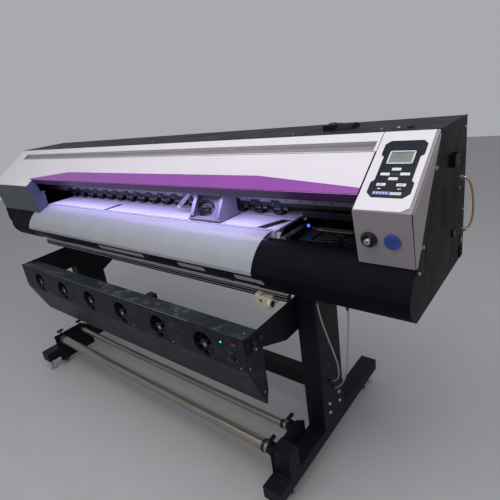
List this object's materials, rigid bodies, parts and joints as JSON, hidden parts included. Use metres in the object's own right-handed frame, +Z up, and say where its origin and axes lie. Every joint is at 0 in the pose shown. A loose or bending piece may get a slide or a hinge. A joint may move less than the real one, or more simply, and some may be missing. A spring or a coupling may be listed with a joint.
{
  "type": "wide format inkjet printer",
  "caption": "Floor-standing wide-format roll printer: sloping flip-up cover, sliding carriage over a slotted platen, side keypad, fan dryer box in front, take-up shafts and a leg stand.",
  "frame": {"origin": "on the floor, under the middle of the machine's footprint", "axes": "+X to the operator's right along the machine, +Y from the operator towards the back, +Z up"},
  "size_m": [2.958, 0.96, 1.467],
  "materials": {
    "black_coat": "satin powder coat",
    "white_coat": "satin powder coat",
    "violet_gloss": "gloss",
    "grey_coat": "satin powder coat",
    "bright_platen": "satin anodised",
    "pale_sheet": "satin",
    "rolled_steel": "satin",
    "pinch_rubber": "matt",
    "carriage_shell": "matt",
    "cream_plastic": "matt",
    "keypad": "satin film",
    "key_white": "satin",
    "plunger": "polished",
    "blue_disc": "satin",
    "dark_dryer": "worn satin coat",
    "fan_black": "matt",
    "red_rocker": "gloss",
    "knob_black": "matt",
    "amber_hose": "gloss",
    "grey_cord": "matt",
    "screw_steel": "satin",
    "wheel_rubber": "matt",
    "zinc": "zinc plated",
    "belt": "matt"
  },
  "bodies": {
    "chassis": {"legs": "black_coat", "cross_beam": "black_coat", "levelling_feet": "zinc", "side_frames": "black_coat", "main_beam": "black_coat", "drive_belt": "belt", "platen": "bright_platen", "front_apron": "pale_sheet", "capping_tray": "rolled_steel", "belly_covers": "black_coat", "front_beam": "black_coat", "rear_cover": "black_coat", "top_fascia": "white_coat", "right_end_cap": "white_coat", "end_cheeks": "grey_coat", "side_panels": "black_coat", "control_panel": "keypad", "roll_brackets": "black_coat", "dryer_housing": "dark_dryer", "ink_tube": "amber_hose", "dryer_cable": "grey_cord", "takeup_cable": "grey_cord", "fasteners": "screw_steel"},
    "cover": {"front_cover": "white_coat", "cover_trim": "violet_gloss"},
    "carriage": {"carriage": "carriage_shell"},
    "pulley": {"drive_pulley": "zinc"},
    "feed_roller": {"feed_roller": "rolled_steel"},
    "pinch_arms": {"pinch_arms": "black_coat"},
    "pinch_rollers": {"pinch_rollers": "pinch_rubber"},
    "cap_carrier": {"cap_carrier": "knob_black"},
    "rail_clamp": {"rail_clamp": "cream_plastic"},
    "power_button": {"power_button": "plunger"},
    "blue_dial": {"blue_dial": "blue_disc"},
    "takeup_shaft": {"takeup_shaft": "rolled_steel"},
    "tension_shaft": {"tension_shaft": "rolled_steel"},
    "supply_shaft": {"supply_shaft": "rolled_steel"},
    "dryer_rocker": {"dryer_rocker": "red_rocker"},
    "dryer_knob": {"dryer_knob": "knob_black"},
    "main_switch": {"main_switch": "red_rocker"},
    "key_up": {"key_up": "key_white"},
    "key_left": {"key_left": "key_white"},
    "key_right": {"key_right": "key_white"},
    "key_down": {"key_down": "key_white"},
    "key_pause": {"key_pause": "key_white"},
    "key_enter": {"key_enter": "key_white"},
    "fan_impeller_1": {"fan_impeller_1": "fan_black"},
    "fan_impeller_2": {"fan_impeller_2": "fan_black"},
    "fan_impeller_3": {"fan_impeller_3": "fan_black"},
    "fan_impeller_4": {"fan_impeller_4": "fan_black"},
    "fan_impeller_5": {"fan_impeller_5": "fan_black"},
    "fan_impeller_6": {"fan_impeller_6": "fan_black"},
    "caster_fork_1": {"caster_fork_1": "zinc"},
    "caster_wheel_1": {"caster_wheel_1": "wheel_rubber"},
    "caster_fork_2": {"caster_fork_2": "zinc"},
    "caster_wheel_2": {"caster_wheel_2": "wheel_rubber"},
    "caster_fork_3": {"caster_fork_3": "zinc"},
    "caster_wheel_3": {"caster_wheel_3": "wheel_rubber"},
    "caster_fork_4": {"caster_fork_4": "zinc"},
    "caster_wheel_4": {"caster_wheel_4": "wheel_rubber"}
  },
  "joints": [
    {"name": "cover_hinge", "type": "hinge", "parent": "chassis", "child": "cover", "pos_m": [0, -0.07651, 1.39801], "axis": [-1, 0, 0], "range_deg": [0, 75]},
    {"name": "carriage_slide", "type": "slide", "parent": "chassis", "child": "carriage", "axis": [1, 0, 0], "range_m": [-1.6, 0.645]},
    {"name": "pulley_spin", "type": "hinge", "parent": "chassis", "child": "pulley", "pos_m": [-1.34, 0, 1.31], "axis": [0, 0, 1], "range_deg": [-6800, 2700]},
    {"name": "feed_spin", "type": "hinge", "parent": "chassis", "child": "feed_roller", "pos_m": [0, 0.05, 1.0982], "axis": [1, 0, 0], "continuous": true},
    {"name": "pinch_lift", "type": "hinge", "parent": "chassis", "child": "pinch_arms", "pos_m": [0, 0.096, 1.145], "axis": [-1, 0, 0], "range_deg": [0, 6]},
    {"name": "pinch_spin", "type": "hinge", "parent": "pinch_arms", "child": "pinch_rollers", "pos_m": [0, 0.05, 1.1205], "axis": [1, 0, 0], "continuous": true},
    {"name": "cap_lift", "type": "slide", "parent": "chassis", "child": "cap_carrier", "axis": [0, 0, 1], "range_m": [0, 0.006]},
    {"name": "clamp_slide", "type": "slide", "parent": "chassis", "child": "rail_clamp", "axis": [1, 0, 0], "range_m": [-1.6, 0.04]},
    {"name": "key_up_press", "type": "slide", "parent": "chassis", "child": "key_up", "axis": [0, 0.5621, -0.8271], "range_m": [0, 0.0008], "stiffness_N_per_m": 800},
    {"name": "key_left_press", "type": "slide", "parent": "chassis", "child": "key_left", "axis": [0, 0.5621, -0.8271], "range_m": [0, 0.0008], "stiffness_N_per_m": 800},
    {"name": "key_right_press", "type": "slide", "parent": "chassis", "child": "key_right", "axis": [0, 0.5621, -0.8271], "range_m": [0, 0.0008], "stiffness_N_per_m": 800},
    {"name": "key_down_press", "type": "slide", "parent": "chassis", "child": "key_down", "axis": [0, 0.5621, -0.8271], "range_m": [0, 0.0008], "stiffness_N_per_m": 800},
    {"name": "key_pause_press", "type": "slide", "parent": "chassis", "child": "key_pause", "axis": [0, 0.5621, -0.8271], "range_m": [0, 0.0008], "stiffness_N_per_m": 800},
    {"name": "key_enter_press", "type": "slide", "parent": "chassis", "child": "key_enter", "axis": [0, 0.5621, -0.8271], "range_m": [0, 0.0008], "stiffness_N_per_m": 800},
    {"name": "power_press", "type": "slide", "parent": "chassis", "child": "power_button", "axis": [0, 0.9854, 0.1702], "range_m": [0, 0.004], "stiffness_N_per_m": 600},
    {"name": "dial_turn", "type": "hinge", "parent": "chassis", "child": "blue_dial", "pos_m": [1.387, -0.25577, 1.17047], "axis": [0, -0.9854, -0.1702], "range_deg": [-135, 135]},
    {"name": "takeup_spin", "type": "hinge", "parent": "chassis", "child": "takeup_shaft", "pos_m": [0, -0.36, 0.205], "axis": [1, 0, 0], "continuous": true},
    {"name": "tension_spin", "type": "hinge", "parent": "chassis", "child": "tension_shaft", "pos_m": [0, -0.22, 0.205], "axis": [1, 0, 0], "continuous": true},
    {"name": "supply_spin", "type": "hinge", "parent": "chassis", "child": "supply_shaft", "pos_m": [0, 0.33, 0.7], "axis": [1, 0, 0], "continuous": true},
    {"name": "rocker_tilt", "type": "hinge", "parent": "chassis", "child": "dryer_rocker", "pos_m": [0.864, -0.444, 0.7675], "axis": [1, 0, 0], "range_deg": [-8, 8]},
    {"name": "heat_turn", "type": "hinge", "parent": "chassis", "child": "dryer_knob", "pos_m": [0.849, -0.46, 0.71], "axis": [0, -1, 0], "range_deg": [-135, 135]},
    {"name": "mains_tilt", "type": "hinge", "parent": "chassis", "child": "main_switch", "pos_m": [1.451, 0.283, 0.986], "axis": [0, 1, 0], "range_deg": [-5, 5]},
    {"name": "fan_spin_1", "type": "hinge", "parent": "chassis", "child": "fan_impeller_1", "pos_m": [-0.70635, -0.439, 0.721], "axis": [0, 1, 0], "continuous": true},
    {"name": "fan_spin_2", "type": "hinge", "parent": "chassis", "child": "fan_impeller_2", "pos_m": [-0.42645, -0.439, 0.721], "axis": [0, 1, 0], "continuous": true},
    {"name": "fan_spin_3", "type": "hinge", "parent": "chassis", "child": "fan_impeller_3", "pos_m": [-0.14655, -0.439, 0.721], "axis": [0, 1, 0], "continuous": true},
    {"name": "fan_spin_4", "type": "hinge", "parent": "chassis", "child": "fan_impeller_4", "pos_m": [0.13335, -0.439, 0.721], "axis": [0, 1, 0], "continuous": true},
    {"name": "fan_spin_5", "type": "hinge", "parent": "chassis", "child": "fan_impeller_5", "pos_m": [0.41325, -0.439, 0.721], "axis": [0, 1, 0], "continuous": true},
    {"name": "fan_spin_6", "type": "hinge", "parent": "chassis", "child": "fan_impeller_6", "pos_m": [0.69315, -0.439, 0.721], "axis": [0, 1, 0], "continuous": true},
    {"name": "swivel_1", "type": "hinge", "parent": "chassis", "child": "caster_fork_1", "pos_m": [-0.965, -0.366, 0.07], "axis": [0, 0, 1], "continuous": true},
    {"name": "wheel_1", "type": "hinge", "parent": "caster_fork_1", "child": "caster_wheel_1", "pos_m": [-0.965, -0.352, 0.028], "axis": [1, 0, 0], "continuous": true},
    {"name": "swivel_2", "type": "hinge", "parent": "chassis", "child": "caster_fork_2", "pos_m": [-0.965, 0.366, 0.07], "axis": [0, 0, 1], "continuous": true},
    {"name": "wheel_2", "type": "hinge", "parent": "caster_fork_2", "child": "caster_wheel_2", "pos_m": [-0.965, 0.38, 0.028], "axis": [1, 0, 0], "continuous": true},
    {"name": "swivel_3", "type": "hinge", "parent": "chassis", "child": "caster_fork_3", "pos_m": [0.965, -0.366, 0.07], "axis": [0, 0, 1], "continuous": true},
    {"name": "wheel_3", "type": "hinge", "parent": "caster_fork_3", "child": "caster_wheel_3", "pos_m": [0.965, -0.352, 0.028], "axis": [1, 0, 0], "continuous": true},
    {"name": "swivel_4", "type": "hinge", "parent": "chassis", "child": "caster_fork_4", "pos_m": [0.965, 0.366, 0.07], "axis": [0, 0, 1], "continuous": true},
    {"name": "wheel_4", "type": "hinge", "parent": "caster_fork_4", "child": "caster_wheel_4", "pos_m": [0.965, 0.38, 0.028], "axis": [1, 0, 0], "continuous": true}
  ],
  "couplings": [
    {"joint": "pulley_spin", "follows": "carriage_slide", "rad_per_m": 71.429},
    {"joint": "pinch_spin", "follows": "feed_spin", "ratio": -1.2}
  ]
}
